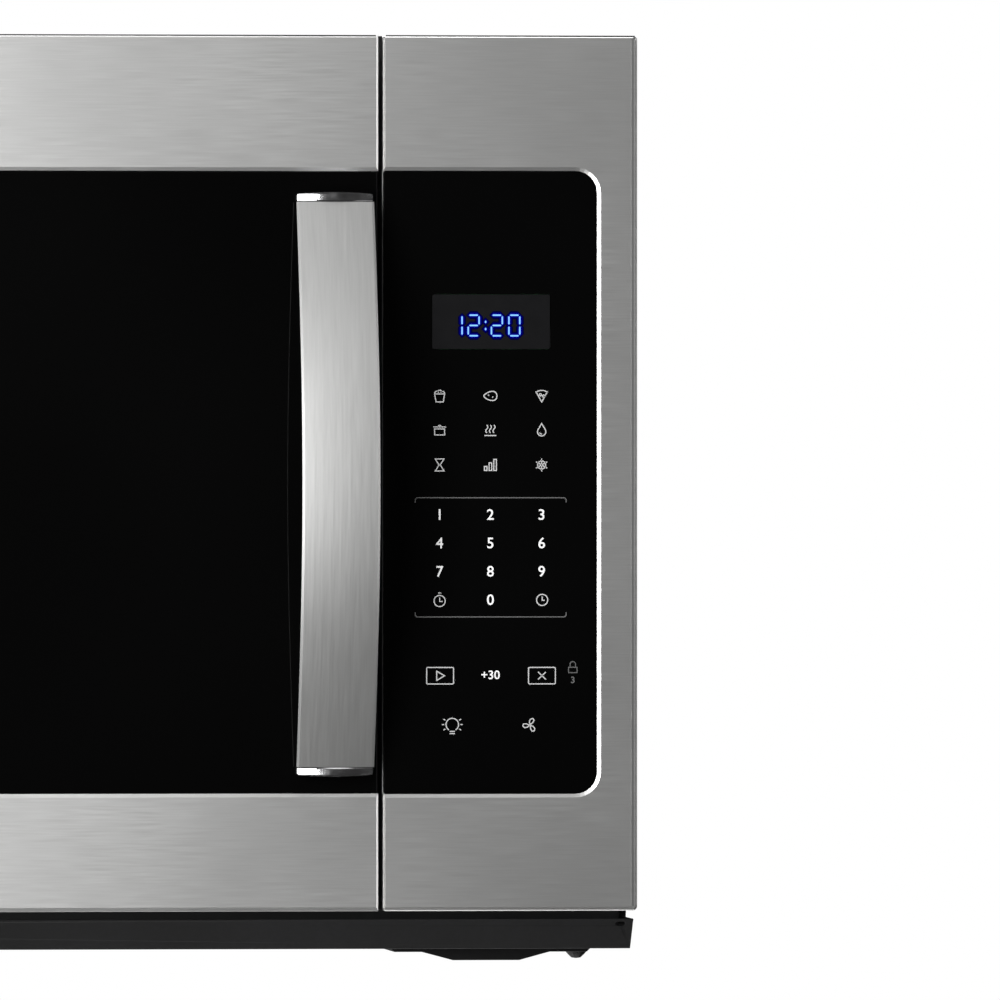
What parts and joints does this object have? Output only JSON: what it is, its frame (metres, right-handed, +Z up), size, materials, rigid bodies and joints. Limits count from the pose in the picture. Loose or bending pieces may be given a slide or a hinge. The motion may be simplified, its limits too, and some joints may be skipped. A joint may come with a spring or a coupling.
{
  "type": "over the range microwave",
  "caption": "Over the range microwave with a swinging door, bowed handle, touch control panel, turntable, vent blower and grease filters under a black base.",
  "frame": {"origin": "centre of the rear face, where it meets the wall, at half the front's height", "axes": "+X to the right of a person facing it, +Y into the wall, +Z up"},
  "size_m": [0.76, 0.437, 0.4418],
  "materials": {
    "brushed": "brushed",
    "polished": "polished",
    "black_glass": "gloss",
    "clear_glass": "gloss",
    "dark_window": "satin",
    "zinc": "satin",
    "black_paint": "satin",
    "enamel": "gloss",
    "black_plastic": "matte",
    "white_plastic": "matte",
    "aluminium": "satin",
    "copper": "gloss",
    "board_green": "satin",
    "mica": "matte",
    "charcoal": "matte"
  },
  "bodies": {
    "cabinet": {"outer_cabinet": "black_paint", "rear_panel": "zinc", "front_plate": "black_paint", "base_pan": "black_paint", "vent_grille": "black_plastic", "charcoal_filter": "charcoal", "duct_cover": "zinc", "cord_gland": "black_plastic", "oven_cavity": "enamel", "waveguide_cover": "mica", "turntable_motor": "zinc", "electrics_tray": "zinc", "waveguide": "zinc", "magnetron": "aluminium", "transformer_core": "zinc", "transformer_windings": "copper", "hv_capacitor": "aluminium", "fan_shroud": "black_plastic", "fan_motor": "zinc", "line_filter_board": "board_green", "oven_lamp_holder": "black_plastic", "oven_lamp_bulb": "clear_glass", "blower_housing": "zinc", "blower_motor": "zinc", "hinge_upper": "zinc", "hinge_lower": "zinc", "panel_frame": "brushed", "touch_glass": "black_glass", "display_lens": "dark_window", "control_carrier": "black_plastic", "control_board": "board_green", "interlock_bracket": "white_plastic", "interlock_switch_upper": "black_plastic", "interlock_switch_monitor": "black_plastic", "interlock_switch_lower": "black_plastic", "cooktop_lamp_lens": "clear_glass", "cooktop_lamp_board": "board_green"},
    "door": {"door_band_top": "brushed", "door_band_bottom": "brushed", "door_glass": "black_glass", "door_frame": "black_paint", "choke_cover": "black_plastic", "door_screen": "black_paint", "door_inner_window": "clear_glass", "latch_spring": "polished", "handle_strap": "brushed", "handle_cap_top": "polished", "handle_cap_bottom": "polished"},
    "latch": {"latch_bar": "white_plastic"},
    "coupler": {"drive_coupler": "white_plastic"},
    "tray": {"glass_tray": "clear_glass"},
    "roller_carrier": {"roller_ring": "black_plastic"},
    "roller_one": {"roller_1": "white_plastic"},
    "roller_two": {"roller_2": "white_plastic"},
    "roller_three": {"roller_3": "white_plastic"},
    "blower_rotor": {"blower_wheel_left": "black_plastic", "blower_wheel_right": "black_plastic"},
    "cooling_fan": {"fan_blade": "black_plastic"},
    "filter_left": {"grease_filter_left": "aluminium"},
    "filter_right": {"grease_filter_right": "aluminium"}
  },
  "joints": [
    {"name": "door_swing", "type": "hinge", "parent": "cabinet", "child": "door", "pos_m": [-0.368, -0.3665, 0], "axis": [0, 0, -1], "range_deg": [0, 95]},
    {"name": "latch_lift", "type": "slide", "parent": "door", "child": "latch", "axis": [0, 0, 1], "range_m": [0, 0.005], "stiffness_N_per_m": 300, "deforming": ["latch_spring"]},
    {"name": "turntable_spin", "type": "hinge", "parent": "cabinet", "child": "coupler", "pos_m": [-0.0665, -0.18025, -0.12], "axis": [0, 0, 1], "continuous": true},
    {"name": "tray_lift", "type": "slide", "parent": "coupler", "child": "tray", "axis": [0, 0, 1], "range_m": [0, 0.06]},
    {"name": "roller_ring_spin", "type": "hinge", "parent": "cabinet", "child": "roller_carrier", "pos_m": [-0.0665, -0.18025, -0.12], "axis": [0, 0, 1], "continuous": true},
    {"name": "roller_one_spin", "type": "hinge", "parent": "roller_carrier", "child": "roller_one", "pos_m": [0.0255, -0.18025, -0.1185], "axis": [1, 0, 0], "continuous": true},
    {"name": "roller_two_spin", "type": "hinge", "parent": "roller_carrier", "child": "roller_two", "pos_m": [-0.1125, -0.10058, -0.1185], "axis": [-0.5, 0.866, 0], "continuous": true},
    {"name": "roller_three_spin", "type": "hinge", "parent": "roller_carrier", "child": "roller_three", "pos_m": [-0.1125, -0.25992, -0.1185], "axis": [-0.5, -0.866, 0], "continuous": true},
    {"name": "blower_spin", "type": "hinge", "parent": "cabinet", "child": "blower_rotor", "pos_m": [0, -0.06, 0.173], "axis": [1, 0, 0], "continuous": true},
    {"name": "cooling_fan_spin", "type": "hinge", "parent": "cabinet", "child": "cooling_fan", "pos_m": [0.2929, -0.046, 0.052], "axis": [0, 1, 0], "continuous": true},
    {"name": "filter_left_release", "type": "slide", "parent": "cabinet", "child": "filter_left", "axis": [0, 0, -1], "range_m": [0, 0.04]},
    {"name": "filter_right_release", "type": "slide", "parent": "cabinet", "child": "filter_right", "axis": [0, 0, -1], "range_m": [0, 0.04]}
  ],
  "couplings": [
    {"joint": "roller_ring_spin", "follows": "turntable_spin", "ratio": 0.5},
    {"joint": "roller_one_spin", "follows": "turntable_spin", "ratio": -5.75},
    {"joint": "roller_two_spin", "follows": "turntable_spin", "ratio": -5.75},
    {"joint": "roller_three_spin", "follows": "turntable_spin", "ratio": -5.75}
  ]
}
